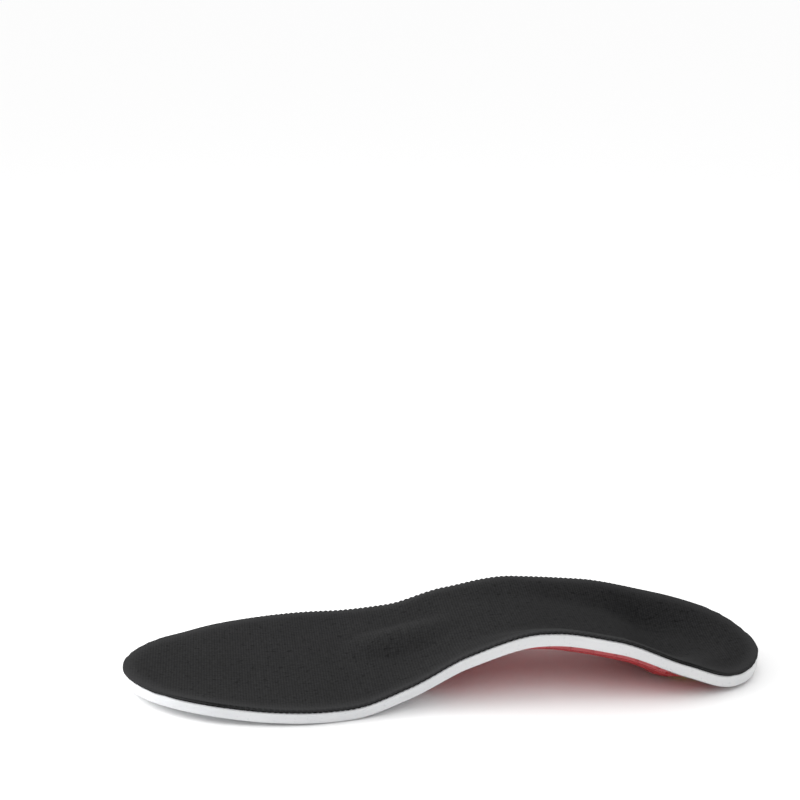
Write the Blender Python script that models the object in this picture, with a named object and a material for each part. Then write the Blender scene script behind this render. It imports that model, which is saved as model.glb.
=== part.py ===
"""Cushioned arch-support insole for a right foot: cover, foam base, metatarsal pad, gel shell and heel pad.

Metres, +Z up. The heel points to +X, the toes to -X, and the medial (arch) side to -Y.
The origin is the middle of the insole's length and width, on the surface that it lies on.
"""
import math

import bmesh
import bpy
from mathutils import Matrix

MM = 0.001

# Driving dimensions
LENGTH = 268 * MM
COVER_THICKNESS = 1.0 * MM
GAP = 0.3 * MM  # glue line between laminated pieces
CENTRE_SHIFT = -1.0 * MM  # moves the outline so that its box is centred on Y = 0

# Stations along the insole, as (fraction of its length from the heel, millimetres)
MIDLINE = [(0.0, -0.2), (0.15, 0.7), (0.25, 2.4), (0.35, 4.6), (0.45, 4.6), (0.55, 4.8), (0.65, 2.8),
           (0.74, 0.3), (0.82, -1.9), (0.89, -4.1), (0.95, -5.9), (1.0, -8.1)]
HALF_WIDTH = [(0.0, 57.0), (0.03, 58.3), (0.07, 54.7), (0.15, 47.6), (0.25, 40.7), (0.35, 36.9),
              (0.45, 37.0), (0.55, 40.7), (0.65, 48.7), (0.74, 54.4), (0.82, 57.2), (0.89, 59.2),
              (0.95, 59.6), (1.0, 54.2)]
MEDIAL_EDGE = [(0.0, 8.4), (0.056, 7.8), (0.149, 15.9), (0.261, 26.9), (0.373, 30.2), (0.485, 22.0),
               (0.578, 10.8), (0.67, 6.0), (0.78, 7.0), (0.9, 9.0), (1.0, 9.4)]
LATERAL_EDGE = [(0.0, 10.6), (0.056, 14.6), (0.149, 19.2), (0.261, 24.1), (0.373, 25.0), (0.485, 19.3),
                (0.578, 9.8), (0.67, 6.1), (0.78, 5.8), (0.9, 6.2), (1.0, 9.6)]
CENTRE = [(0.0, 8.6), (0.03, 8.6), (0.155, 8.6), (0.175, 9.5), (0.2, 13.0), (0.23, 16.6), (0.27, 19.4),
          (0.31, 21.1), (0.373, 23.0), (0.43, 22.3), (0.485, 18.6), (0.53, 13.4), (0.578, 9.4), (0.62, 7.4),
          (0.67, 5.8), (0.78, 5.8), (0.9, 7.0), (1.0, 9.4)]
FOAM_THICKNESS = [(0.0, 5.0), (0.18, 5.0), (0.27, 5.4), (0.42, 5.4), (0.6, 4.8), (0.67, 4.5), (1.0, 4.5)]
SHELL_THICKNESS = [(0.0, 2.0), (0.5, 2.0), (0.56, 1.6), (0.62, 0.9), (1.0, 0.9)]
CUP_WALL = 17 * MM  # how far in from the edge the raised rim reaches

# Metatarsal pad, a soft dome behind the ball of the foot
PAD_X = -20 * MM
PAD_Y = 7.5 * MM
PAD_HALF_LENGTH = 28 * MM
PAD_HALF_WIDTH = 17 * MM
PAD_RISE = 3.6 * MM
PAD_RIM = 0.74  # where the pad's skived rim lies, as a fraction of the dome

# Gel shell under the heel and arch, with stations along its own length
SHELL_HEEL = 4.5 * MM  # from the insole's heel end to the shell's
SHELL_TIP = 166 * MM
SHELL_MIDLINE = [(0.0, -0.5), (0.15, -1.4), (0.3, 0.0), (0.5, 1.9), (0.7, 3.6), (0.76, 2.7), (0.79, 1.9),
                 (0.82, 0.2), (0.857, -1.2), (0.9, -1.3), (0.95, -1.8), (1.0, -2.5)]
SHELL_HALF_WIDTH = [(0.0, 39.0), (0.06, 38.0), (0.15, 35.5), (0.3, 31.3), (0.5, 25.8), (0.6, 26.6),
                    (0.7, 29.4), (0.76, 33.4), (0.79, 34.4), (0.82, 33.6), (0.857, 29.4), (0.892, 28.0),
                    (0.93, 29.2), (1.0, 32.0)]
SHELL_OUTLINE_POINTS = 72
SHELL_EDGE = 0.4  # thickness at the shell's edge, as a share of its full thickness
SHELL_TAPER = 8 * MM  # how far in from its edge the shell thickens

# Castellated medial edge of the shell
SLOT_FIRST = 50.5 * MM  # from the insole's heel end
SLOT_PITCH = 9.0 * MM
SLOT_WIDTH = 1.6 * MM
SLOT_DEPTH = 5.0 * MM
SLOT_COUNT = 10

# Heel pad, which sits in the shell's hole and a blind pocket of the foam
HEEL_PAD_FROM_HEEL = 33 * MM
HEEL_PAD_Y = -2.5 * MM
HEEL_PAD_RADIUS = 14.0 * MM
HEEL_PAD_POCKET = 2.5 * MM
HEEL_PAD_BEVEL = 0.8 * MM

# Flex line at the ball of the foot
FLEX_FROM_HEEL = 193 * MM
FLEX_ABOVE_FLOOR = 9 * MM

LAYER_GRID = (36, 18)  # cells along and across, shared by all layers so that their facets run parallel
CUTTER_REACH = 60 * MM  # cutters pass right through, from this far below to this far above the floor


def slope(stations, i):
    """Slope at a station: the harmonic mean of its two sides, or level at a peak, so nothing overshoots."""
    sides = [
        (stations[k + 1][1] - stations[k][1]) / (stations[k + 1][0] - stations[k][0])
        for k in (i - 1, i)
        if 0 <= k < len(stations) - 1
    ]
    if len(sides) == 1:
        return sides[0]
    left, right = sides
    return 2 * left * right / (left + right) if left * right > 0 else 0.0


def smooth(stations, u):
    """Reads a table of stations at u along a smooth curve, in metres."""
    last = len(stations) - 2
    i = next((k for k in range(last) if u <= stations[k + 1][0]), last)
    (start, low), (end, high) = stations[i], stations[i + 1]
    step = end - start
    t = (u - start) / step
    value = (
        low * (2 * t**3 - 3 * t**2 + 1)
        + slope(stations, i) * step * (t**3 - 2 * t**2 + t)
        + high * (3 * t**2 - 2 * t**3)
        + slope(stations, i + 1) * step * (t**3 - t**2)
    )
    return value * MM


def disc(x, y):
    """Maps the square -1..1 onto the unit disc, so that a grid gets a round outline."""
    return x * math.sqrt(1 - y * y / 2), y * math.sqrt(1 - x * x / 2)


def fraction(x):
    """How far along the insole a place is, from 0 at the heel to 1 at the toe."""
    return min(max(0.5 - x / LENGTH, 0.0), 1.0)


def base_height(x, y):
    """Height of the cover's top at a place on the insole, without the metatarsal dome."""
    u = fraction(x)
    a = 2 * u - 1
    half = smooth(HALF_WIDTH, u)
    b = (y - CENTRE_SHIFT - smooth(MIDLINE, u)) / half
    inside = max(1 - a * a - b * b, 0.0)
    steepness = 2 * math.hypot(a / (LENGTH / 2), b / half)
    from_edge = inside / max(steepness, 1e-6)
    rim = math.exp(-((from_edge / CUP_WALL) ** 2))
    lateral = 0.5 + 0.5 * max(-1.0, min(1.0, b / max(math.sqrt(max(1 - a * a, 0.0)), 0.3)))
    edge = smooth(MEDIAL_EDGE, u) * (1 - lateral) + smooth(LATERAL_EDGE, u) * lateral
    centre = smooth(CENTRE, u)
    return centre + (edge - centre) * rim


def dome_height(x, y):
    """Rise of the metatarsal dome at a place on the insole."""
    along = (x - PAD_X) / PAD_HALF_LENGTH
    across = (y - PAD_Y) / PAD_HALF_WIDTH
    inside = max(1 - along * along - across * across, 0.0)
    return PAD_RISE * inside * inside


def cover_top(x, y):
    return base_height(x, y) + dome_height(x, y)


def cover_bottom(x, y):
    return cover_top(x, y) - COVER_THICKNESS


def foam_top(x, y):
    return base_height(x, y) - COVER_THICKNESS - GAP


def foam_bottom(x, y):
    return foam_top(x, y) - smooth(FOAM_THICKNESS, fraction(x))


def pad_top(x, y):
    return max(cover_bottom(x, y) - GAP, foam_top(x, y) + 2 * GAP)


def pad_bottom(x, y):
    return foam_top(x, y) + GAP


def shell_top(x, y):
    return foam_bottom(x, y) - GAP


def from_shell_edge(x, y):
    """About how far in from the shell's outline a place is. The exact centre counts as a place just beside it."""
    length = SHELL_TIP - SHELL_HEEL
    u = min(max((LENGTH / 2 - SHELL_HEEL - x) / length, 0.0), 1.0)
    half = smooth(SHELL_HALF_WIDTH, u)
    a = 2 * u - 1
    b = (y - CENTRE_SHIFT - smooth(SHELL_MIDLINE, u)) / half
    r = max(math.hypot(a, b), 1e-4)
    return max(1 - r, 0.0) * r / max(math.hypot(2 * a / length, b / half), 1e-6)


def shell_bottom(x, y):
    taper = SHELL_EDGE + (1 - SHELL_EDGE) * min(from_shell_edge(x, y) / SHELL_TAPER, 1.0)
    return shell_top(x, y) - smooth(SHELL_THICKNESS, fraction(x)) * taper


def insole_place(a, b):
    """A place on the unit disc, laid out on the insole's outline."""
    u = (1 + a) / 2
    return LENGTH / 2 - u * LENGTH, CENTRE_SHIFT + smooth(MIDLINE, u) + b * smooth(HALF_WIDTH, u)


def shell_place(a, b):
    """A place on the unit disc, laid out on the shell's outline."""
    u = (1 + a) / 2
    x = LENGTH / 2 - SHELL_HEEL - u * (SHELL_TIP - SHELL_HEEL)
    return x, CENTRE_SHIFT + smooth(SHELL_MIDLINE, u) + b * smooth(SHELL_HALF_WIDTH, u)


def pad_place(a, b):
    return PAD_X + a * PAD_HALF_LENGTH * PAD_RIM, PAD_Y + b * PAD_HALF_WIDTH * PAD_RIM


def material(name, colour, roughness):
    made = bpy.data.materials.new(name)
    made.use_nodes = True
    shader = made.node_tree.nodes["Principled BSDF"]
    shader.inputs["Base Color"].default_value = (*colour, 1.0)
    shader.inputs["Roughness"].default_value = roughness
    made.diffuse_color = (*colour, 1.0)
    return made


def new_object(name, shape, collection, surface=None):
    mesh = bpy.data.meshes.new(name)
    shape.to_mesh(mesh)
    shape.free()
    made = bpy.data.objects.new(name, mesh)
    collection.objects.link(made)
    if surface:
        mesh.materials.append(surface)
        mesh.shade_smooth()
        mesh.set_sharp_from_angle(angle=math.radians(40))
    return made


def layer(top, bottom):
    """One closed layer of the laminate, over the insole's whole outline, between two heights."""
    shape = bmesh.new()
    bmesh.ops.create_grid(shape, x_segments=LAYER_GRID[0], y_segments=LAYER_GRID[1], size=1)
    bmesh.ops.triangulate(shape, faces=shape.faces)
    lower = bmesh.ops.extrude_face_region(shape, geom=list(shape.faces))
    lower_verts = {v for v in lower["geom"] if isinstance(v, bmesh.types.BMVert)}
    for v in shape.verts:
        x, y = insole_place(*disc(v.co.x, v.co.y))
        v.co = (x, y, bottom(x, y) if v in lower_verts else top(x, y))
    bmesh.ops.recalc_face_normals(shape, faces=shape.faces)
    return shape


def cut_across(shape, x, keep_heel):
    """Keeps one side of a closed layer and caps the cut."""
    cut = bmesh.ops.bisect_plane(
        shape,
        geom=list(shape.verts) + list(shape.edges) + list(shape.faces),
        plane_co=(x, 0, 0),
        plane_no=(-1 if keep_heel else 1, 0, 0),
        clear_outer=True,
    )
    rim = [e for e in cut["geom_cut"] if isinstance(e, bmesh.types.BMEdge)]
    bmesh.ops.holes_fill(shape, edges=rim)
    bmesh.ops.recalc_face_normals(shape, faces=shape.faces)
    return shape


def prism(place, points):
    """An upright prism through all the layers, with the outline that place gives to a circle."""
    shape = bmesh.new()
    bmesh.ops.create_circle(shape, cap_ends=True, segments=points, radius=1)
    for v in shape.verts:
        x, y = place(v.co.x, v.co.y)
        v.co = (x, y, -CUTTER_REACH)
    raised = bmesh.ops.extrude_face_region(shape, geom=list(shape.faces))
    raised_verts = [v for v in raised["geom"] if isinstance(v, bmesh.types.BMVert)]
    bmesh.ops.translate(shape, verts=raised_verts, vec=(0, 0, 2 * CUTTER_REACH))
    bmesh.ops.recalc_face_normals(shape, faces=shape.faces)
    return shape


def disc_solid(radius, low, high, centre_x, centre_y):
    """An upright cylinder between two heights."""
    shape = bmesh.new()
    middle = Matrix.Translation((centre_x, centre_y, (low + high) / 2))
    bmesh.ops.create_cone(
        shape, cap_ends=True, segments=48, radius1=radius, radius2=radius, depth=high - low, matrix=middle
    )
    return shape


def slot_boxes():
    """Boxes that cut the slots of the shell's castellated medial edge."""
    shape = bmesh.new()
    box_depth = 3 * SLOT_DEPTH
    size = Matrix.Diagonal((SLOT_WIDTH, box_depth, 2 * CUTTER_REACH, 1.0))
    for k in range(SLOT_COUNT):
        a = 2 * (SLOT_FIRST + k * SLOT_PITCH - SHELL_HEEL) / (SHELL_TIP - SHELL_HEEL) - 1
        x, edge_y = shell_place(a, -math.sqrt(1 - a * a))
        place = Matrix.Translation((x, edge_y + SLOT_DEPTH - box_depth / 2, 0))
        bmesh.ops.create_cube(shape, size=1, matrix=place @ size)
    return shape


def cut_with(target, tool, operation):
    """Cuts the target with a tool, which stays out of the render."""
    tool.hide_render = True
    tool.display_type = "WIRE"
    step = target.modifiers.new(tool.name, "BOOLEAN")
    step.operation = operation
    step.solver = "EXACT"
    step.object = tool


def build():
    for old in list(bpy.data.objects):
        bpy.data.objects.remove(old)
    parts = bpy.data.collections.new("cushioned_insole")
    tools = bpy.data.collections.new("cutters")
    for group in (parts, tools):
        bpy.context.scene.collection.children.link(group)

    knit = material("black_knit", (0.018, 0.018, 0.020), 0.9)
    foam = material("white_foam", (0.86, 0.87, 0.88), 0.75)
    soft = material("pad_foam", (0.75, 0.76, 0.78), 0.8)
    red_gel = material("red_gel", (0.46, 0.018, 0.018), 0.28)
    yellow_gel = material("yellow_gel", (0.95, 0.62, 0.03), 0.35)

    flex = bpy.data.objects.new("forefoot_flex_axis", None)
    flex.location = (LENGTH / 2 - FLEX_FROM_HEEL, 0, FLEX_ABOVE_FLOOR)
    parts.objects.link(flex)
    made = {}
    for name, top, bottom, surface in (
        ("top_cover", cover_top, cover_bottom, knit),
        ("foam_base", foam_top, foam_bottom, foam),
    ):
        rear = cut_across(layer(top, bottom), flex.location.x + GAP / 2, keep_heel=True)
        front = cut_across(layer(top, bottom), flex.location.x - GAP / 2, keep_heel=False)
        bmesh.ops.translate(front, verts=front.verts, vec=-flex.location)
        made[name] = new_object(name + "_rear", rear, parts, surface)
        new_object(name + "_front", front, parts, surface).parent = flex

    metatarsal_pad = new_object("metatarsal_pad", layer(pad_top, pad_bottom), parts, soft)
    cut_with(metatarsal_pad, new_object("pad_outline", prism(pad_place, 32), tools), "INTERSECT")

    arch_shell = new_object("arch_shell", layer(shell_top, shell_bottom), parts, red_gel)
    shell_outline = new_object("shell_outline", prism(shell_place, SHELL_OUTLINE_POINTS), tools)
    cut_with(arch_shell, shell_outline, "INTERSECT")

    heel_x = LENGTH / 2 - HEEL_PAD_FROM_HEEL
    heel_low = shell_bottom(heel_x, 0)
    heel_top = foam_bottom(heel_x, 0) + HEEL_PAD_POCKET
    pocket_shape = disc_solid(HEEL_PAD_RADIUS + GAP, -CUTTER_REACH, heel_top + GAP, heel_x, HEEL_PAD_Y)
    pocket = new_object("heel_pocket", pocket_shape, tools)
    cut_with(arch_shell, pocket, "DIFFERENCE")
    cut_with(arch_shell, new_object("edge_slots", slot_boxes(), tools), "DIFFERENCE")
    cut_with(made["foam_base"], pocket, "DIFFERENCE")

    heel = disc_solid(HEEL_PAD_RADIUS, heel_low, heel_top, heel_x, HEEL_PAD_Y)
    rims = [e for e in heel.edges if e.verts[0].co.z == e.verts[1].co.z]
    bmesh.ops.bevel(
        heel, geom=rims, offset=HEEL_PAD_BEVEL, segments=2, profile=0.5, affect="EDGES", material=-1
    )
    new_object("heel_pad", heel, parts, yellow_gel)


build()
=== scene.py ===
# %% [markdown]
# # A cushioned insole, layer by layer
# An arch-support insole is a laminate: a knit cover, a foam base, a soft dome behind the ball of the
# foot, a moulded gel shell under heel and arch, and a gel pad under the heel bone. This notebook builds
# each layer over a frame of plain solids, which fixes the sizes and the flex at the ball of the foot. All
# sizes are metres, the heel points to +X, the arch side to -Y, and +Z is up.

# %% Load the frame
import math

import bmesh
import bpy
import numpy as np
from mathutils import Matrix, Quaternion, Vector


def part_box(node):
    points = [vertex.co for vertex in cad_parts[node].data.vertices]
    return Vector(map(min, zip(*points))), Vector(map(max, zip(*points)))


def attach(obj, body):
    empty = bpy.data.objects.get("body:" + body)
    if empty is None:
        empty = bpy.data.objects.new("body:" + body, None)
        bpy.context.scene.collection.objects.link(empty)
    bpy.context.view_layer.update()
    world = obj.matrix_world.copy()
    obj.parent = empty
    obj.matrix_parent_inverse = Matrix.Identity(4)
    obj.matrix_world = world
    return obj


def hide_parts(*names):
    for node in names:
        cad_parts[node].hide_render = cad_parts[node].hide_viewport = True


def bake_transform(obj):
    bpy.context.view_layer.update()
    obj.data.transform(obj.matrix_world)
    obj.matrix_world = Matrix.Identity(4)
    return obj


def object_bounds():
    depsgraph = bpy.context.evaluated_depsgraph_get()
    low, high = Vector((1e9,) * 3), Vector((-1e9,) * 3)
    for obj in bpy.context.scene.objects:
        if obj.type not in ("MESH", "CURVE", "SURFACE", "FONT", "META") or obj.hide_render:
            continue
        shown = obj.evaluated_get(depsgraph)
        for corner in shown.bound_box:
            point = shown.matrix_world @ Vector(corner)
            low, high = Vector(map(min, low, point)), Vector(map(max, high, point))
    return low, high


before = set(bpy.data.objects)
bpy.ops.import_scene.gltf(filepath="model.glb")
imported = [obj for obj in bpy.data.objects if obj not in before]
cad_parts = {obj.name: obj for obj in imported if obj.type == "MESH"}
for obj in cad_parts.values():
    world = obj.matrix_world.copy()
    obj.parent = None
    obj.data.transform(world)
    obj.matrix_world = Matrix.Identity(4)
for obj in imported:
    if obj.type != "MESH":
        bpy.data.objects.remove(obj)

CAD_LOW, CAD_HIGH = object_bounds()
LENGTH = CAD_HIGH.x - CAD_LOW.x
SPAN = 268  # drawing units from heel to toe
HEEL_END = SPAN / 2
UNIT = LENGTH / SPAN
print("insole", [round(v, 4) for v in CAD_HIGH - CAD_LOW], "unit", round(UNIT, 6))

# %% [markdown]
# ## Camera, light and floor
# The camera comes first, so that each new piece can be looked at in the final framing. A long lens from a
# little above the table shows the top and the near edge together. The floor is plain white. The light is
# a sky that is bright overhead and dark at the horizon, behind a white backdrop, and one broad window
# light from the toe side, which gives the slopes their shade. A light tent would be the other way, but it
# hides the form.

# %% Camera
scene = bpy.context.scene
scene.view_settings.view_transform = "Standard"
VIEW_AZIMUTH = math.radians(-9.2)
VIEW_ELEVATION = math.radians(25.5)
VIEW_ROLL = math.radians(1.75)
EYE_DISTANCE = 2.608 * LENGTH
AIM = Vector((-0.0851, 0.0, 0.4399)) * LENGTH

camera = bpy.data.objects.new("camera", bpy.data.cameras.new("camera"))
camera.data.lens = 73.5
camera.data.sensor_width = 36
camera.location = EYE_DISTANCE * Vector((
    math.sin(VIEW_AZIMUTH) * math.cos(VIEW_ELEVATION),
    -math.cos(VIEW_AZIMUTH) * math.cos(VIEW_ELEVATION),
    math.sin(VIEW_ELEVATION),
))
facing = (AIM - camera.location).to_track_quat("-Z", "Y")
camera.rotation_euler = (facing @ Quaternion((0, 0, 1), VIEW_ROLL)).to_euler()
camera.data.clip_start = 0.01
scene.collection.objects.link(camera)
scene.camera = camera
print("camera at", [round(v, 3) for v in camera.location])


# %% Light
window_data = bpy.data.lights.new("window_light", "AREA")
window_data.size = 1.9 * LENGTH
window_data.energy = 4.9
window = bpy.data.objects.new("window_light", window_data)
window.location = Vector((-2.45, 0.5, 1.25)) * LENGTH
window.rotation_euler = (-window.location).to_track_quat("-Z", "Y").to_euler()
window.visible_camera = False
scene.collection.objects.link(window)

SKY_LOW, SKY_HIGH = 0.0, 1.6
sky = bpy.data.worlds.new("studio_sky")
sky.use_nodes = True
nodes, join = sky.node_tree.nodes, sky.node_tree.links.new
direction = nodes.new("ShaderNodeTexCoord")
height = nodes.new("ShaderNodeSeparateXYZ")
join(direction.outputs["Generated"], height.inputs[0])
brightness = nodes.new("ShaderNodeMapRange")
join(height.outputs["Z"], brightness.inputs["Value"])
brightness.inputs["To Min"].default_value = SKY_LOW
brightness.inputs["To Max"].default_value = SKY_HIGH
join(brightness.outputs["Result"], nodes["Background"].inputs["Strength"])
backdrop = nodes.new("ShaderNodeBackground")
seen = nodes.new("ShaderNodeLightPath")
choose = nodes.new("ShaderNodeMixShader")
join(seen.outputs["Is Camera Ray"], choose.inputs[0])
join(nodes["Background"].outputs[0], choose.inputs[1])
join(backdrop.outputs[0], choose.inputs[2])
join(choose.outputs[0], nodes["World Output"].inputs["Surface"])
for shade in (nodes["Background"], backdrop):
    shade.inputs["Color"].default_value = (1.0, 1.0, 1.0, 1.0)
scene.world = sky
print("sky from", SKY_LOW, "to", SKY_HIGH)

# %% [markdown]
# ## Small helpers for materials
# Each finish is a Principled shader with a few nodes in front of it. These helpers add a node and join
# sockets, so that a material reads as a list of what feeds what.


# %% Material helpers
def new_material(name, **values):
    """A material and its Principled shader, with plain values set on the shader's own sockets."""
    material = bpy.data.materials.new(name)
    material.use_nodes = True
    shader = material.node_tree.nodes["Principled BSDF"]
    for socket, value in values.items():
        shader.inputs[socket.replace("_", " ")].default_value = value
    return material, shader


def add_node(material, kind, inputs=(), **settings):
    """A node with its settings, and its inputs joined to sockets or set to values, by number or name."""
    node = material.node_tree.nodes.new(kind)
    for setting, value in settings.items():
        setattr(node, setting, value)
    for key, value in dict(inputs).items():
        if isinstance(value, bpy.types.NodeSocket):
            material.node_tree.links.new(value, node.inputs[key])
        else:
            node.inputs[key].default_value = value
    return node


def calculate(material, operation, *values):
    """One step of arithmetic on sockets and numbers."""
    return add_node(material, "ShaderNodeMath", enumerate(values), operation=operation).outputs[0]


def ramp(material, value, low, high):
    """0 where value is below low, 1 above high, and a smooth step between."""
    inputs = {"Value": value, "From Min": low, "From Max": high}
    made = add_node(material, "ShaderNodeMapRange", inputs, interpolation_type="SMOOTHSTEP")
    return made.outputs["Result"]


def mix_colours(material, share, first, second):
    node = add_node(material, "ShaderNodeMix", data_type="RGBA")
    for key, value in ((0, share), (6, first), (7, second)):
        if isinstance(value, bpy.types.NodeSocket):
            material.node_tree.links.new(value, node.inputs[key])
        else:
            node.inputs[key].default_value = value
    return node.outputs[2]


def attribute(material, name, output="Fac"):
    return add_node(material, "ShaderNodeAttribute", attribute_name=name).outputs[output]


def noise(material, place, scale, detail=2.0, roughness=0.5):
    """Noise with about `scale` lumps in a metre."""
    inputs = {"Vector": place, "Scale": scale, "Detail": detail, "Roughness": roughness}
    return add_node(material, "ShaderNodeTexNoise", inputs).outputs[0]


def bump(material, height, strength, distance):
    inputs = {"Height": height, "Strength": strength, "Distance": distance}
    return add_node(material, "ShaderNodeBump", inputs).outputs["Normal"]


def feed(material, shader, **sockets):
    for name, socket in sockets.items():
        material.node_tree.links.new(socket, shader.inputs[name.replace("_", " ")])


# %% Floor
FLOOR_HALF = 30.0
FLOOR_DROP = 0.1 * UNIT  # keeps the floor just clear of the insole's lowest points
floor_shape = bmesh.new()
bmesh.ops.create_grid(floor_shape, x_segments=1, y_segments=1, size=FLOOR_HALF)
bmesh.ops.translate(floor_shape, verts=floor_shape.verts, vec=(0, 0, -FLOOR_DROP))
floor_mesh = bpy.data.meshes.new("floor")
floor_shape.to_mesh(floor_mesh)
floor_shape.free()
floor = bpy.data.objects.new("floor", floor_mesh)
scene.collection.objects.link(floor)
floor_white, _ = new_material("pale_floor", Base_Color=(0.97, 0.97, 0.97, 1), Roughness=0.6)
floor_mesh.materials.append(floor_white)
print("floor", FLOOR_HALF * 2, "m square")

# %% [markdown]
# ## The shape of the insole
# A shoemaker's last is described by a few stations along its length, and so is this insole: its midline,
# its half width, and the heights of its medial edge, lateral edge and centre. The tables are on the
# 268-unit scale. A square grid is laid on a disc and the disc on the outline, which gives a round toe and
# heel without a pole. The outline could be a curve that is filled, but a filled curve has no rows of
# faces to bend into an arch.

# %% Shape tables
CENTRE_SHIFT = -1.0
MIDLINE = [(0.0, -0.2), (0.15, 0.7), (0.25, 2.4), (0.35, 4.6), (0.45, 4.6), (0.55, 4.8), (0.65, 2.8),
           (0.74, 0.3), (0.82, -1.9), (0.89, -4.1), (0.95, -5.9), (1.0, -8.1)]
HALF_WIDTH = [(0.0, 57.0), (0.03, 58.3), (0.07, 54.7), (0.15, 47.6), (0.25, 40.7), (0.35, 36.9),
              (0.45, 37.0), (0.55, 40.7), (0.65, 48.7), (0.74, 54.4), (0.82, 57.2), (0.89, 59.2),
              (0.95, 59.6), (1.0, 54.2)]
MEDIAL_EDGE = [(0.0, 8.4), (0.056, 7.8), (0.149, 15.9), (0.261, 26.9), (0.373, 30.2), (0.485, 22.0),
               (0.578, 10.8), (0.67, 6.0), (0.78, 7.0), (0.9, 9.0), (1.0, 9.4)]
LATERAL_EDGE = [(0.0, 10.6), (0.056, 14.6), (0.149, 19.2), (0.261, 24.1), (0.373, 25.0), (0.485, 19.3),
                (0.578, 9.8), (0.67, 6.1), (0.78, 5.8), (0.9, 6.2), (1.0, 9.6)]
CENTRE = [(0.0, 8.6), (0.03, 8.6), (0.155, 8.6), (0.175, 9.5), (0.2, 13.0), (0.23, 16.6), (0.27, 19.4),
          (0.31, 21.1), (0.373, 23.0), (0.43, 22.3), (0.485, 18.6), (0.53, 13.4), (0.578, 9.4), (0.62, 7.4),
          (0.67, 5.8), (0.78, 5.8), (0.9, 7.0), (1.0, 9.4)]
FOAM_THICKNESS = [(0.0, 5.0), (0.18, 5.0), (0.27, 5.4), (0.42, 5.4), (0.6, 4.8), (0.67, 4.5), (1.0, 4.5)]
SHELL_THICKNESS = [(0.0, 2.0), (0.5, 2.0), (0.56, 1.6), (0.62, 0.9), (1.0, 0.9)]
CUP_WALL = 17.0
COVER_THICKNESS = 1.0
GLUE_LINE = 0.3
DOME_X, DOME_Y, DOME_HALF_LENGTH, DOME_HALF_WIDTH, DOME_RISE = -20.0, 7.5, 28.0, 17.0, 3.6
HEEL_PAD_X, HEEL_PAD_Y, HEEL_PAD_RADIUS = 101.0, -2.5, 14.0


def smooth(stations, u):
    """Reads a table at each u along a smooth curve that doesn't overshoot its stations."""
    places, values = (np.array(column, float) for column in zip(*stations))
    steps = np.diff(places)
    rises = np.diff(values) / steps
    slopes = np.concatenate([rises[:1], np.zeros(len(rises) - 1), rises[-1:]])
    left, right = rises[:-1], rises[1:]
    same_way = left * right > 0
    slopes[1:-1] = np.where(same_way, 2 * left * right / np.where(same_way, left + right, 1), 0)
    i = np.clip(np.searchsorted(places, u, side="right") - 1, 0, len(steps) - 1)
    t = (u - places[i]) / steps[i]
    return (
        values[i] * (2 * t**3 - 3 * t**2 + 1)
        + slopes[i] * steps[i] * (t**3 - 2 * t**2 + t)
        + values[i + 1] * (3 * t**2 - 2 * t**3)
        + slopes[i + 1] * steps[i] * (t**3 - t**2)
    )


def step(value, low, high):
    """0 below low, 1 above high, and a smooth step between."""
    t = np.clip((value - low) / (high - low), 0, 1)
    return t * t * (3 - 2 * t)


# %% [markdown]
# Heights follow the same tables as the frame's solids, so every layer lies where its solid is. All
# functions take arrays of places in drawing units, because a fine mesh has too many points to visit one
# at a time.


# %% Heights of the layers
def insole_disc(x, y):
    """Where a place lies on the outline's unit disc: (a, b, fraction of the length, half width)."""
    u = np.clip(0.5 - x / SPAN, 0, 1)
    half = smooth(HALF_WIDTH, u)
    return 2 * u - 1, (y - CENTRE_SHIFT - smooth(MIDLINE, u)) / half, u, half


def from_insole_edge(x, y):
    """Distance in from the insole's outline."""
    a, b, _, half = insole_disc(x, y)
    steepness = np.maximum(2 * np.hypot(a / HEEL_END, b / half), 1e-6)
    return np.maximum(1 - a * a - b * b, 0) / steepness


def base_height(x, y):
    """Height of the cover's top without the metatarsal dome."""
    a, b, u, _ = insole_disc(x, y)
    rim = np.exp(-((from_insole_edge(x, y) / CUP_WALL) ** 2))
    across = np.maximum(np.sqrt(np.maximum(1 - a * a, 0)), 0.3)
    lateral = 0.5 + 0.5 * np.clip(b / across, -1, 1)
    edge = smooth(MEDIAL_EDGE, u) * (1 - lateral) + smooth(LATERAL_EDGE, u) * lateral
    centre = smooth(CENTRE, u)
    return centre + (edge - centre) * rim


def dome_height(x, y):
    """Rise of the metatarsal dome."""
    along = (x - DOME_X) / DOME_HALF_LENGTH
    across = (y - DOME_Y) / DOME_HALF_WIDTH
    return DOME_RISE * np.maximum(1 - along**2 - across**2, 0) ** 2


def cover_top(x, y):
    return base_height(x, y) + dome_height(x, y)


def foam_top(x, y):
    return base_height(x, y) - COVER_THICKNESS - GLUE_LINE


def foam_bottom(x, y):
    return foam_top(x, y) - smooth(FOAM_THICKNESS, insole_disc(x, y)[2])


def insole_place(a, b):
    """A place of the unit disc, laid out on the insole's outline."""
    u = (1 + a) / 2
    return HEEL_END - SPAN * u, CENTRE_SHIFT + smooth(MIDLINE, u) + b * smooth(HALF_WIDTH, u)


heel_point = cover_top(np.array([HEEL_PAD_X]), np.array([0.0]))[0]
print("heel seat", round(float(heel_point), 2), "units high; box", round((CAD_HIGH.z - CAD_LOW.z) / UNIT, 2))

# %% [markdown]
# ## From a grid to a layer
# Every layer starts as a flat grid that is extruded once, so it is a closed solid from the start. Its
# upper points then go to one height and its lower points to another. A power curve draws the rows
# together towards the edge, where the surface turns over and needs them.


# %% Layer helpers
def points_of(mesh):
    flat = np.empty(len(mesh.vertices) * 3)
    mesh.vertices.foreach_get("co", flat)
    return flat.reshape(-1, 3)


def move_points(mesh, points):
    mesh.vertices.foreach_set("co", points.astype(np.float32).ravel())
    mesh.update()


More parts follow.
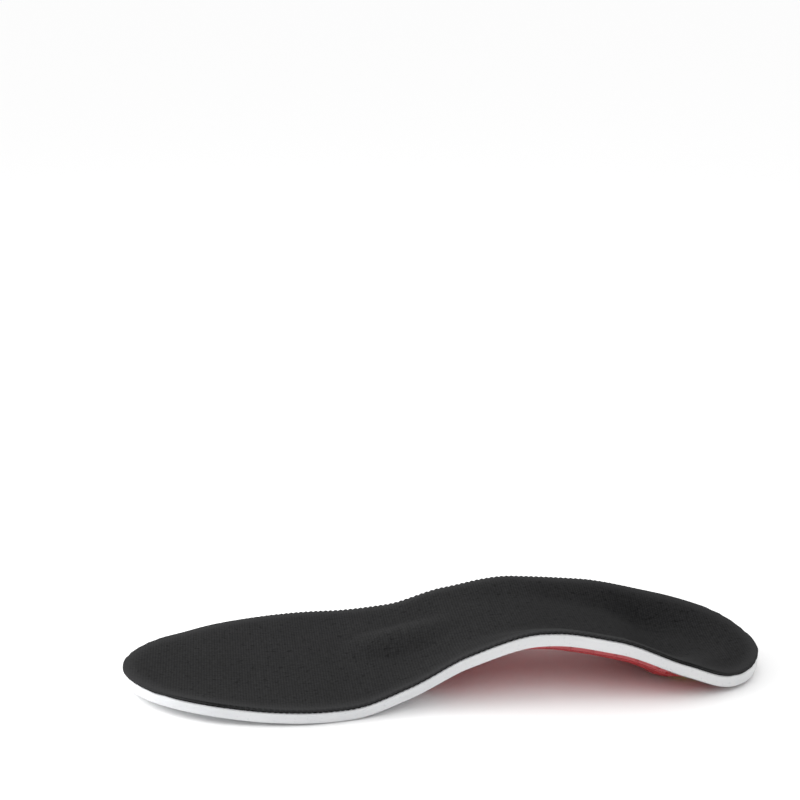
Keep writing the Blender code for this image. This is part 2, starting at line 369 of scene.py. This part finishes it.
def store(mesh, name, values):
    """Keeps one number for each point, which a material can read."""
    made = mesh.attributes.new(name, "FLOAT", "POINT")
    made.data.foreach_set("value", values.astype(np.float32))


def store_places(mesh):
    """Keeps each point's place at rest, so that a pattern stays on the surface when the piece bends."""
    made = mesh.attributes.new("rest_place", "FLOAT_VECTOR", "POINT")
    made.data.foreach_set("vector", points_of(mesh).astype(np.float32).ravel())


def slab(name, cells, crowding):
    """A closed slab over the unit disc: its upper points at z = 0 and its lower points at z = -1."""
    shape = bmesh.new()
    bmesh.ops.create_grid(shape, x_segments=cells[0], y_segments=cells[1], size=1)
    lower = bmesh.ops.extrude_face_region(shape, geom=list(shape.faces))
    lower_points = [v for v in lower["geom"] if isinstance(v, bmesh.types.BMVert)]
    bmesh.ops.translate(shape, verts=lower_points, vec=(0, 0, -1))
    bmesh.ops.recalc_face_normals(shape, faces=shape.faces)
    mesh = bpy.data.meshes.new(name)
    shape.to_mesh(mesh)
    shape.free()
    points = points_of(mesh)
    x = points[:, 0]
    y = np.sign(points[:, 1]) * (1 - (1 - np.abs(points[:, 1])) ** crowding)
    a = x * np.sqrt(1 - y * y / 2)
    b = y * np.sqrt(1 - x * x / 2)
    return mesh, a, b, points[:, 2] < -0.5


def add_piece(mesh, material, sharp_degrees=35):
    """Shows a finished mesh as a piece of the insole."""
    made = bpy.data.objects.new(mesh.name, mesh)
    scene.collection.objects.link(made)
    mesh.materials.clear()
    mesh.materials.append(material)
    mesh.shade_smooth()
    mesh.set_sharp_from_angle(angle=math.radians(sharp_degrees))
    return made


def bend_at_ball(piece):
    """Bakes the piece's placement into its mesh and returns it."""
    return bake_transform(piece)


# %% [markdown]
# ## Knit cover: material
# The cover is a black polyester knit. Its stitches are finer than a mesh should hold, so they are bump:
# rows of loops, each row shifted by half a stitch from its neighbour, with fuzz that breaks the rows up
# and small pits where loops open. The pattern reads the cover's own UV map, in drawing units along and
# across the foot, so it bends with the cloth. Two stored numbers steer painted light and shade: the
# cover's edge is painted darker towards its lower face, a painted shadow where it meets the foam, and the
# cloth near the rim is painted a little lighter, a painted sheen like the knit's sheen at grazing angles.

# %% Knit material
RIB_PITCH = 2.2
STITCH_PITCH = 1.1
knit, knit_shader = new_material(
    "black_knit", Roughness=0.95, Specular_IOR_Level=0.1, Sheen_Weight=0.02, Sheen_Roughness=0.5
)
cloth_uv = add_node(knit, "ShaderNodeUVMap", uv_map="cloth").outputs["UV"]
cloth_xy = add_node(knit, "ShaderNodeSeparateXYZ", {"Vector": cloth_uv})
row_count = calculate(knit, "DIVIDE", cloth_xy.outputs["X"], RIB_PITCH / 2)
half_shift = calculate(knit, "MULTIPLY", calculate(knit, "FLOOR", row_count), 0.5)
stitch_count = calculate(knit, "DIVIDE", cloth_xy.outputs["Y"], STITCH_PITCH)
stitch_count = calculate(knit, "ADD", stitch_count, half_shift)


def arches(count):
    """A row of round arches, one for each whole step of count."""
    angle = calculate(knit, "MULTIPLY", count, math.pi)
    return calculate(knit, "ABSOLUTE", calculate(knit, "SINE", angle))


loops = calculate(knit, "MULTIPLY", arches(row_count), calculate(knit, "POWER", arches(stitch_count), 0.6))
fuzz_scale = (0.5, 0.75, 1.0)
fuzz_place = add_node(knit, "ShaderNodeVectorMath", {0: cloth_uv, 1: fuzz_scale}, operation="MULTIPLY")
fuzz = noise(knit, fuzz_place.outputs["Vector"], 1.0, detail=4.0, roughness=0.75)
pits = ramp(knit, noise(knit, cloth_uv, 0.45, detail=2.0), 0.60, 0.70)
cloudy = noise(knit, cloth_uv, 0.06, detail=3.0)
relief = calculate(knit, "ADD", calculate(knit, "MULTIPLY", loops, 0.3), fuzz)
relief = calculate(knit, "SUBTRACT", relief, calculate(knit, "MULTIPLY", pits, 0.3))
cloud_share = calculate(knit, "MULTIPLY_ADD", cloudy, 0.6, 0.7)
light_share = calculate(knit, "MULTIPLY", ramp(knit, relief, 0.2, 1.1), cloud_share)
knit_colour = mix_colours(knit, light_share, (0.0035, 0.0035, 0.0037, 1), (0.0205, 0.0205, 0.021, 1))
# Painted sheen: the cloth near the rim is painted lighter, in place of the knit's sheen at grazing angles.
rim_sheen_share = calculate(knit, "MULTIPLY", attribute(knit, "rim"), 0.6)
knit_colour = mix_colours(knit, rim_sheen_share, knit_colour, (0.036, 0.036, 0.037, 1))
# Painted shadow: the cover's edge is painted darker towards its lower face, where it meets the foam.
painted_edge_shadow = ramp(knit, attribute(knit, "upper"), 0.35, 0.9)
knit_colour = mix_colours(knit, painted_edge_shadow, (0.0015, 0.0015, 0.0015, 1), knit_colour)
feed(knit, knit_shader, Base_Color=knit_colour, Normal=bump(knit, relief, 0.6, 0.22 * UNIT))
print("knit material has", len(knit.node_tree.nodes), "nodes")

# %% [markdown]
# ## Knit cover: shape
# The cover is one sheet, a unit thick, with fine ribs across the foot. The ribs are real geometry,
# because they show as small scallops where the cloth is cut. Five rows of faces make each rib. Near the
# edge the top turns over by half the cloth's thickness, and the outline bulges at each rib and pulls in
# between.

# %% Knit cover
RIB_DEPTH = 0.018
SCALLOP, SCALLOP_REACH = 0.45, 1.2
RIM_REACH = 4.5
COVER_TURN = 0.55
COVER_CELLS = (int(SPAN / RIB_PITCH) * 5, 58)

cover_mesh, disc_a, disc_b, is_lower = slab("knit_cover", COVER_CELLS, crowding=1.35)
cover_x, cover_y = insole_place(disc_a, disc_b)
rib = np.abs(np.sin(np.pi * cover_x / RIB_PITCH))
edge_gap = from_insole_edge(cover_x, cover_y)
turn = 1 - np.clip(edge_gap / COVER_TURN, 0, 1)
at_cut = np.exp(-((edge_gap / SCALLOP_REACH) ** 2))
scallop = SCALLOP * (rib - 0.6) * at_cut
upper_z = cover_top(cover_x, cover_y) + RIB_DEPTH * (rib - 1) - COVER_TURN * (1 - np.sqrt(1 - turn**2))
upper_z += scallop * at_cut
lower_z = cover_top(cover_x, cover_y) - COVER_THICKNESS
cover_points = np.column_stack([
    cover_x, cover_y + np.sign(disc_b) * scallop, np.where(is_lower, lower_z, upper_z)
]) * UNIT
move_points(cover_mesh, cover_points)
store(cover_mesh, "upper", 1.0 - is_lower)
# Nearness to the rim, which the knit material reads for its painted sheen.
store(cover_mesh, "rim", np.exp(-((edge_gap / RIM_REACH) ** 2)))

cloth_map = cover_mesh.uv_layers.new(name="cloth")
corner_points = np.empty(len(cover_mesh.loops), np.int64)
cover_mesh.loops.foreach_get("vertex_index", corner_points)
cloth_places = np.column_stack([cover_x, cover_y]).astype(np.float32)
cloth_map.data.foreach_set("uv", cloth_places[corner_points].ravel())

cover = add_piece(cover_mesh, knit, sharp_degrees=80)
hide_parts("top_cover_rear", "top_cover_front")
outline_u = np.linspace(0, 1, 400)
outline_width = 4 * smooth(HALF_WIDTH, outline_u) * np.sqrt(outline_u * (1 - outline_u))
bend_at_ball(cover)

# %% [markdown]
# ## Foam base
# The base is white closed-cell foam, cut from a sheet and pressed into the cup. Its walls are cut faces,
# so they show opened cells as a fine speckle, and its underside keeps the smooth skin of the mould. Each
# point stores how much it belongs to the wall, and the material mixes the two faces by that number.

# %% Foam material
foam, foam_shader = new_material(
    "white_foam", Roughness=0.72, Specular_IOR_Level=0.35, Subsurface_Weight=0.12
)
foam_shader.inputs["Subsurface Radius"].default_value = (0.004, 0.004, 0.0038)
foam_shader.inputs["Subsurface Scale"].default_value = 0.5
foam_place = attribute(foam, "rest_place", "Vector")
wall_share = attribute(foam, "wall")
cells = noise(foam, foam_place, 1500.0, detail=3.0, roughness=0.65)
pores = ramp(foam, noise(foam, foam_place, 900.0, detail=2.0), 0.60, 0.76)
speckle = calculate(foam, "MULTIPLY", pores, wall_share)
stain = noise(foam, foam_place, 25.0, detail=3.0)
stain_share = ramp(foam, stain, 0.3, 0.75)
foam_colour = mix_colours(foam, stain_share, (0.70, 0.71, 0.725, 1), (0.78, 0.785, 0.79, 1))
pore_share = calculate(foam, "MULTIPLY", speckle, 0.35)
foam_colour = mix_colours(foam, pore_share, foam_colour, (0.52, 0.54, 0.56, 1))
cell_depth = calculate(foam, "MULTIPLY_ADD", wall_share, 0.75, 0.25)
foam_relief = calculate(foam, "SUBTRACT", cells, calculate(foam, "MULTIPLY", speckle, 0.5))
foam_relief = calculate(foam, "MULTIPLY", foam_relief, cell_depth)
feed(foam, foam_shader, Base_Color=foam_colour, Normal=bump(foam, foam_relief, 0.35, 0.15 * UNIT))

# %% Foam body
FOAM_EDGE_ROUND = 0.8
foam_mesh, disc_a, disc_b, is_lower = slab("foam_body", (190, 60), crowding=1.15)
foam_x, foam_y = insole_place(disc_a, disc_b)
foam_z = np.where(is_lower, foam_bottom(foam_x, foam_y), foam_top(foam_x, foam_y))
move_points(foam_mesh, np.column_stack([foam_x, foam_y, foam_z]) * UNIT)

foam_shape = bmesh.new()
foam_shape.from_mesh(foam_mesh)
foam_shape.normal_update()
foam_rims = [e for e in foam_shape.edges if e.calc_face_angle(0) > math.radians(60)]
bmesh.ops.bevel(
    foam_shape, geom=foam_rims, offset=FOAM_EDGE_ROUND * UNIT, offset_type="OFFSET", segments=3, profile=0.5,
    affect="EDGES", material=-1,
)
foam_shape.to_mesh(foam_mesh)
foam_shape.free()
foam_points = points_of(foam_mesh) / UNIT
wall_gap = from_insole_edge(foam_points[:, 0], foam_points[:, 1])
store(foam_mesh, "wall", 1 - step(wall_gap, 0.2, FOAM_EDGE_ROUND + 0.4))
store_places(foam_mesh)
foam_body = add_piece(foam_mesh, foam)
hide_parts("foam_base_rear", "foam_base_front")
bend_at_ball(foam_body)
print("foam rim edges rounded:", len(foam_rims), "faces", len(foam_mesh.polygons))

# %% [markdown]
# ## Metatarsal dome
# The dome is a skived pad of soft foam between base and cover. The cover hides it, but it is a piece of its
# own.

# %% Metatarsal dome
DOME_RIM = 0.74
pad_foam, pad_shader = new_material("soft_pad_foam", Roughness=0.85)
pad_place = attribute(pad_foam, "rest_place", "Vector")
pad_cells = noise(pad_foam, pad_place, 900.0, detail=3.0)
feed(
    pad_foam, pad_shader,
    Base_Color=mix_colours(pad_foam, pad_cells, (0.62, 0.63, 0.66, 1), (0.82, 0.83, 0.85, 1)),
    Normal=bump(pad_foam, pad_cells, 0.4, 0.2 * UNIT),
)
dome_mesh, disc_a, disc_b, is_lower = slab("metatarsal_dome", (30, 22), crowding=1.0)
dome_x = DOME_X + disc_a * DOME_HALF_LENGTH * DOME_RIM
dome_y = DOME_Y + disc_b * DOME_HALF_WIDTH * DOME_RIM
dome_lower = foam_top(dome_x, dome_y) + GLUE_LINE
dome_upper = np.maximum(cover_top(dome_x, dome_y) - COVER_THICKNESS - GLUE_LINE, dome_lower + GLUE_LINE)
dome_z = np.where(is_lower, dome_lower, dome_upper)
move_points(dome_mesh, np.column_stack([dome_x, dome_y, dome_z]) * UNIT)
store_places(dome_mesh)
dome = add_piece(dome_mesh, pad_foam)
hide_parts("metatarsal_pad")
bend_at_ball(dome)
print("dome", [round(v, 4) for v in dome.dimensions])

# %% [markdown]
# ## Gel shell: where its zones lie
# The shell is one moulding with several surfaces: a glossy centre panel, a frosted band round it that
# widens to a frosted field at the heel, a glossy slope down to the outer edge, and a row of tabs along
# the medial edge. Five distances tell them apart: from the outline, from the slope's inner line, from the
# panel's border, from the rim of the heel hole, and from the inner line of the tabs. The same numbers
# shape the mesh and, kept on its points, steer the material.

# %% Shell tables
SHELL_HEEL, SHELL_TIP = 4.5, 166.0
SHELL_EDGE, SHELL_TAPER = 0.4, 8.0
SHELL_MIDLINE = [(0.0, -0.5), (0.15, -1.4), (0.3, 0.0), (0.5, 1.9), (0.7, 3.6), (0.76, 2.7), (0.79, 1.9),
                 (0.82, 0.2), (0.857, -1.2), (0.9, -1.3), (0.95, -1.8), (1.0, -2.5)]
SHELL_HALF_WIDTH = [(0.0, 39.0), (0.06, 38.0), (0.15, 35.5), (0.3, 31.3), (0.5, 25.8), (0.6, 26.6),
                    (0.7, 29.4), (0.76, 33.4), (0.79, 34.4), (0.82, 33.6), (0.857, 29.4), (0.892, 28.0),
                    (0.93, 29.2), (1.0, 32.0)]
SLOT_FIRST, SLOT_PITCH, SLOT_WIDTH, SLOT_COUNT = 50.5, 9.0, 1.6, 10
TAB_DEPTH, TABS_END = 5.2, 134.0
RING_OUTER = 17.0
HEEL_FIELD = 22.5


def shell_place(a, b):
    u = (1 + a) / 2
    x = HEEL_END - SHELL_HEEL - u * (SHELL_TIP - SHELL_HEEL)
    return x, CENTRE_SHIFT + smooth(SHELL_MIDLINE, u) + b * smooth(SHELL_HALF_WIDTH, u)


def shell_fields(x, y):
    """Distances that tell the shell's zones apart: from its edge, slope, panel border, heel pad and tabs."""
    u = np.clip((HEEL_END - SHELL_HEEL - x) / (SHELL_TIP - SHELL_HEEL), 0, 1)
    half = smooth(SHELL_HALF_WIDTH, u)
    a = 2 * u - 1
    b = (y - CENTRE_SHIFT - smooth(SHELL_MIDLINE, u)) / half
    r = np.hypot(a, b)
    half_length = (SHELL_TIP - SHELL_HEEL) / 2
    steepness = np.maximum(np.hypot(a / half_length, b / half), 1e-6)
    edge = np.maximum(1 - r, 0) * np.maximum(r, 1e-4) / steepness
    side = b / np.maximum(np.sqrt(np.maximum(1 - a * a, 0)), 0.35)
    lateral = step(side, -0.5, 0.6)
    slope_width = 6.6 + 1.4 * lateral * step(u, 0.05, 0.3)
    panel_inset = 10.2 + 2.8 * lateral
    from_pad = np.hypot(x - HEEL_PAD_X, y - HEEL_PAD_Y)
    from_heel = HEEL_END - x
    tab_row = step(from_heel, SLOT_FIRST - 5, SLOT_FIRST - 4) * (1 - step(from_heel, TABS_END, TABS_END + 1))
    tab_row *= side < 0
    return {
        "edge": edge,
        "slope": edge - slope_width,
        "panel": np.minimum(edge - panel_inset, from_pad - HEEL_FIELD),
        "ring": from_pad - HEEL_PAD_RADIUS,
        "tab": np.where(tab_row > 0.5, TAB_DEPTH - edge, -TAB_DEPTH),
    }


def shell_relief(x, y):
    """Share of its full thickness that the shell has here. It reaches it a few units in from its edge."""
    f = shell_fields(x, y)
    share = SHELL_EDGE + (0.94 - SHELL_EDGE) * np.clip(f["edge"] / SHELL_TAPER, 0, 1)
    share -= 0.16 * np.exp(-(((f["tab"] + 1.6) / 0.45) ** 2))
    share -= 0.14 * step(f["panel"], -0.2, 0.5) + 0.10 * step(f["panel"], 1.0, 9.0)
    share += 0.06 * (np.exp(-((f["panel"] / 0.4) ** 2)) + np.exp(-((f["slope"] / 0.4) ** 2)))
    share -= 0.4 * (1 - step(f["ring"], 0.2, RING_OUTER - HEEL_PAD_RADIUS))
    share += 0.06 * np.exp(-(((f["ring"] - 3.2) / 0.4) ** 2))
    return np.clip(share, 0.1, 1.0) * (0.5 + 0.5 * np.sqrt(np.clip(f["edge"] / 0.5, 0, 1)))


# %% [markdown]
# ## Gel shell: material
# Red gel is glossy where the mould was polished and frosted where it was etched. Frosting scatters light,
# so it looks paler as well as rougher. The tabs are thin and let the white foam shine through, which
# turns them pink.

# %% Shell material
gel, gel_shader = new_material("red_gel", Specular_IOR_Level=0.3, Subsurface_Weight=0.08)
gel_shader.inputs["Subsurface Radius"].default_value = (0.004, 0.0008, 0.0006)
gel_shader.inputs["Subsurface Scale"].default_value = 0.5
gel_place = add_node(gel, "ShaderNodeTexCoord").outputs["Object"]
slope_units = attribute(gel, "slope")
panel_units = attribute(gel, "panel")
ring_units = attribute(gel, "ring")
tab_units = attribute(gel, "tab")
edge_units = attribute(gel, "edge")


def line_at(value, place, width):
    """1 on a thin line where value is near place, fading out over width."""
    off = calculate(gel, "ABSOLUTE", calculate(gel, "SUBTRACT", value, place))
    return calculate(gel, "SUBTRACT", 1.0, ramp(gel, off, 0.3 * width, width))


on_slope = calculate(gel, "SUBTRACT", 1.0, ramp(gel, slope_units, -0.2, 0.2))
on_panel = ramp(gel, panel_units, -0.2, 0.2)
on_ring = calculate(gel, "SUBTRACT", 1.0, ramp(gel, ring_units, 2.5, 3.0))
on_tab = ramp(gel, tab_units, 0.0, 0.3)
glossy = calculate(gel, "MAXIMUM", calculate(gel, "MAXIMUM", on_slope, on_panel), on_ring)
frosted = calculate(gel, "MAXIMUM", calculate(gel, "SUBTRACT", 1.0, glossy), on_tab)
# Painted highlight: a thin pale line at the panel's border, the slope's inner line, the heel ring and the
# tabs' inner line, where the small ridges and steps catch the light.
ridge_highlights = calculate(gel, "MAXIMUM", line_at(panel_units, 0.0, 0.5), line_at(slope_units, 0.0, 0.5))
ridge_highlights = calculate(gel, "MAXIMUM", ridge_highlights, line_at(ring_units, 3.2, 0.6))
ridge_highlights = calculate(gel, "MAXIMUM", ridge_highlights, line_at(tab_units, -0.7, 0.6))

swirl = noise(gel, gel_place, 60.0, detail=3.0)
grain = noise(gel, gel_place, 2600.0, detail=2.0, roughness=0.7)
gel_colour = mix_colours(gel, swirl, (0.43, 0.008, 0.010, 1), (0.51, 0.012, 0.014, 1))
# Painted shade: the gel is painted darker within a few units of its outer edge, where the slope turns down
# to the foam.
gel_colour = mix_colours(gel, ramp(gel, edge_units, 2.4, 0.6), gel_colour, (0.26, 0.005, 0.008, 1))
gel_colour = mix_colours(gel, on_ring, gel_colour, (0.62, 0.018, 0.016, 1))
gel_colour = mix_colours(gel, frosted, gel_colour, (0.46, 0.034, 0.040, 1))
gel_colour = mix_colours(gel, on_tab, gel_colour, (0.58, 0.115, 0.125, 1))
# The painted highlight is mixed into the gel colour here.
ridge_highlight_share = calculate(gel, "MULTIPLY", ridge_highlights, 0.6)
gel_colour = mix_colours(gel, ridge_highlight_share, gel_colour, (0.68, 0.16, 0.17, 1))
gel_rough = calculate(gel, "MULTIPLY_ADD", frosted, 0.36, 0.13)
gel_rough = calculate(gel, "ADD", gel_rough, calculate(gel, "MULTIPLY", swirl, 0.06))
frost_relief = calculate(gel, "MULTIPLY", grain, frosted)
gel_bump = bump(gel, frost_relief, 0.3, 0.1 * UNIT)
feed(gel, gel_shader, Base_Color=gel_colour, Roughness=gel_rough, Normal=gel_bump)
print("gel material has", len(gel.node_tree.nodes), "nodes")

# %% [markdown]
# ## Gel shell: shape
# The slots and the heel hole go right through, so they are cut with a Boolean, once the relief is in the
# mesh. The slots could be gaps between separate tabs, but the real shell is one moulding.


# %% Cutters
CUTTER_HEIGHT = 80.0
SLOT_BOX_LENGTH = 12.0


def slot_box(shape, from_heel):
    """A box across the shell's medial edge that ends a little short of the tabs' inner line."""
    here = 2 * (from_heel - SHELL_HEEL) / (SHELL_TIP - SHELL_HEEL) - 1
    nearby = np.array([here - 0.02, here, here + 0.02])
    x, y = shell_place(nearby, -np.sqrt(1 - nearby**2))
    lean = math.atan2(y[2] - y[0], x[2] - x[0])
    lean -= math.pi * round(lean / math.pi)
    centre = Vector((x[1], y[1] + TAB_DEPTH - 0.4 - SLOT_BOX_LENGTH / 2, 0)) * UNIT
    size = Matrix.Diagonal((SLOT_WIDTH * UNIT, SLOT_BOX_LENGTH * UNIT, CUTTER_HEIGHT * UNIT, 1))
    spin = Matrix.Rotation(lean, 4, "Z")
    bmesh.ops.create_cube(shape, size=1, matrix=Matrix.Translation(centre) @ spin @ size)


cut_shape = bmesh.new()
hole_radius = (HEEL_PAD_RADIUS + GLUE_LINE) * UNIT
bmesh.ops.create_cone(
    cut_shape, cap_ends=True, segments=96, radius1=hole_radius, radius2=hole_radius,
    depth=CUTTER_HEIGHT * UNIT, matrix=Matrix.Translation(Vector((HEEL_PAD_X, HEEL_PAD_Y, 0)) * UNIT),
)
for k in range(SLOT_COUNT):
    slot_box(cut_shape, SLOT_FIRST + k * SLOT_PITCH)
cut_mesh = bpy.data.meshes.new("shell_cutters")
cut_shape.to_mesh(cut_mesh)
cut_shape.free()
shell_cutters = bpy.data.objects.new("shell_cutters", cut_mesh)
scene.collection.objects.link(shell_cutters)

# %% Gel shell
shell_mesh, disc_a, disc_b, is_lower = slab("gel_shell", (250, 92), crowding=1.2)
shell_x, shell_y = shell_place(disc_a, disc_b)
shell_top = foam_bottom(shell_x, shell_y) - GLUE_LINE
full_thickness = smooth(SHELL_THICKNESS, insole_disc(shell_x, shell_y)[2])
shell_low = shell_top - full_thickness * shell_relief(shell_x, shell_y)
shell_z = np.where(is_lower, shell_low, shell_top)
move_points(shell_mesh, np.column_stack([shell_x, shell_y, shell_z]) * UNIT)
shell_blank = bpy.data.objects.new("shell_blank", shell_mesh)
scene.collection.objects.link(shell_blank)
cut = shell_blank.modifiers.new("cuts", "BOOLEAN")
cut.operation = "DIFFERENCE"
cut.solver = "EXACT"
cut.object = shell_cutters
cut_graph = bpy.context.evaluated_depsgraph_get()
shell_mesh = bpy.data.meshes.new_from_object(shell_blank.evaluated_get(cut_graph))
for helper in (shell_blank, shell_cutters):
    blank = helper.data
    bpy.data.objects.remove(helper)
    bpy.data.meshes.remove(blank)
shell_mesh.name = "gel_shell"
shell_points = points_of(shell_mesh) / UNIT
for field, values in shell_fields(shell_points[:, 0], shell_points[:, 1]).items():
    store(shell_mesh, field, values)
gel_shell = add_piece(shell_mesh, gel, sharp_degrees=40)
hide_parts("arch_shell")
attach(gel_shell, "rearfoot")
print("shell faces", len(shell_mesh.polygons))

# %% [markdown]
# ## Heel pad
# The pad is a soft disc of yellow gel, a little crowned, with a soft edge. A turned shape is a profile
# that is spun round its axis, so the pad is made as it would be on a lathe. Its lower face is then lifted
# to follow the shell around it, and sits a little recessed in its hole.

# %% Heel pad
heel_low, heel_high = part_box("heel_pad")
PAD_CROWN = 0.35
PAD_EDGE = 0.9
PAD_RECESS = 0.4
PAD_LOWEST = 0.05
PAD_CHAMFER = 0.3
yellow, yellow_shader = new_material(
    "yellow_gel", Specular_IOR_Level=0.5, Subsurface_Weight=0.25, Coat_Weight=0.15, Coat_Roughness=0.3
)
yellow_shader.inputs["Subsurface Radius"].default_value = (0.006, 0.004, 0.001)
yellow_shader.inputs["Subsurface Scale"].default_value = 0.5
pad_object_place = add_node(yellow, "ShaderNodeTexCoord").outputs["Object"]
pad_cloud = noise(yellow, pad_object_place, 120.0, detail=3.0)
pad_grain = noise(yellow, pad_object_place, 2200.0, detail=2.0)
feed(
    yellow, yellow_shader,
    Base_Color=mix_colours(yellow, pad_cloud, (0.95, 0.61, 0.030, 1), (0.99, 0.72, 0.060, 1)),
    Roughness=calculate(yellow, "MULTIPLY_ADD", pad_cloud, 0.15, 0.33),
    Normal=bump(yellow, pad_grain, 0.15, 0.1 * UNIT),
)

pad_height = (heel_high.z - heel_low.z) / UNIT
profile = [(0.0, PAD_LOWEST)]
for k in range(1, 9):
    radius = (HEEL_PAD_RADIUS - PAD_EDGE) * k / 8
    profile.append((radius, PAD_LOWEST + PAD_CROWN * (radius / HEEL_PAD_RADIUS) ** 2))
foot = profile[-1][1]
for k in range(1, 6):
    angle = math.pi / 2 * k / 5
    radius = HEEL_PAD_RADIUS - PAD_EDGE * (1 - math.sin(angle))
    profile.append((radius, foot + PAD_EDGE * (1 - math.cos(angle))))
profile += [
    (HEEL_PAD_RADIUS, pad_height - PAD_CHAMFER),
    (HEEL_PAD_RADIUS - PAD_CHAMFER, pad_height),
    (0.0, pad_height),
]
pad_shape = bmesh.new()
rail = [pad_shape.verts.new((r * UNIT, 0, z * UNIT)) for r, z in profile]
spokes = [pad_shape.edges.new(pair) for pair in zip(rail, rail[1:])]
bmesh.ops.spin(
    pad_shape, geom=rail + spokes, cent=(0, 0, 0), axis=(0, 0, 1), angle=math.tau, steps=96, use_merge=True
)
bmesh.ops.remove_doubles(pad_shape, verts=pad_shape.verts, dist=1e-6)
bmesh.ops.recalc_face_normals(pad_shape, faces=pad_shape.faces)
pad_centre = Vector((HEEL_PAD_X * UNIT, HEEL_PAD_Y * UNIT, heel_low.z))
bmesh.ops.translate(pad_shape, verts=pad_shape.verts, vec=pad_centre)
for v in pad_shape.verts:
    shell_here = smooth(SHELL_THICKNESS, 0.5 - v.co.x / LENGTH)
    seat = float(foam_bottom(v.co.x / UNIT, v.co.y / UNIT) - GLUE_LINE - shell_here)
    height_share = (v.co.z - heel_low.z) / (heel_high.z - heel_low.z)
    v.co.z += (max(seat, 0) + PAD_RECESS) * UNIT * (1 - height_share)
pad_mesh = bpy.data.meshes.new("heel_gel_pad")
pad_shape.to_mesh(pad_mesh)
pad_shape.free()
heel_pad = add_piece(pad_mesh, yellow, sharp_degrees=50)
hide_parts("heel_pad")
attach(heel_pad, "rearfoot")
print("heel pad", [round(v, 4) for v in heel_pad.dimensions])

# %% [markdown]
# ## Trim marks
# The underside of the foam is printed with marks that show where to trim the toe for other sizes. Here
# they are plain ticks, each a thin printed bar that follows the foam, long at every fourth place.

# %% Trim marks
ink, ink_shader = new_material("grey_ink", Roughness=0.6)
ink_place = add_node(ink, "ShaderNodeTexCoord").outputs["Object"]
ink_wear = noise(ink, ink_place, 1800.0, detail=2.0)
feed(ink, ink_shader, Base_Color=mix_colours(ink, ink_wear, (0.10, 0.10, 0.11, 1), (0.32, 0.32, 0.34, 1)))
TICKS = 13
TICK_FIRST, TICK_PITCH, TICK_WIDTH = -38.0, 2.4, 0.55
TICK_LONG, TICK_SHORT = 6.0, 3.6
TICK_FROM_EDGE = 5.0
TICK_HEIGHT, TICK_SUNK = 0.1, 0.06
ticks_shape = bmesh.new()
for k in range(TICKS):
    tick_x = TICK_FIRST - TICK_PITCH * k
    tick_length = TICK_LONG if k % 4 == 0 else TICK_SHORT
    u = 0.5 - tick_x / SPAN
    side_y = float(insole_place(2 * u - 1, math.sqrt(4 * u * (1 - u)))[1])
    bar = bmesh.ops.create_grid(ticks_shape, x_segments=1, y_segments=4, size=0.5)["verts"]
    bmesh.ops.scale(ticks_shape, verts=bar, vec=(TICK_WIDTH, tick_length, 1))
    tick_y = side_y - TICK_FROM_EDGE - tick_length / 2
    bmesh.ops.translate(ticks_shape, verts=bar, vec=(tick_x, tick_y, 0))
walls = bmesh.ops.extrude_face_region(ticks_shape, geom=list(ticks_shape.faces))
raised = [v for v in walls["geom"] if isinstance(v, bmesh.types.BMVert)]
bmesh.ops.translate(ticks_shape, verts=raised, vec=(0, 0, 1))
bmesh.ops.recalc_face_normals(ticks_shape, faces=ticks_shape.faces)
ticks_mesh = bpy.data.meshes.new("trim_marks")
ticks_shape.to_mesh(ticks_mesh)
ticks_shape.free()
tick_points = points_of(ticks_mesh)
tick_x, tick_y, tick_share = tick_points.T
tick_z = foam_bottom(tick_x, tick_y) - TICK_SUNK + TICK_HEIGHT * tick_share
move_points(ticks_mesh, np.column_stack([tick_x, tick_y, tick_z]) * UNIT)
trim_marks = add_piece(ticks_mesh, ink)
bend_at_ball(trim_marks)
print("ticks", TICKS)
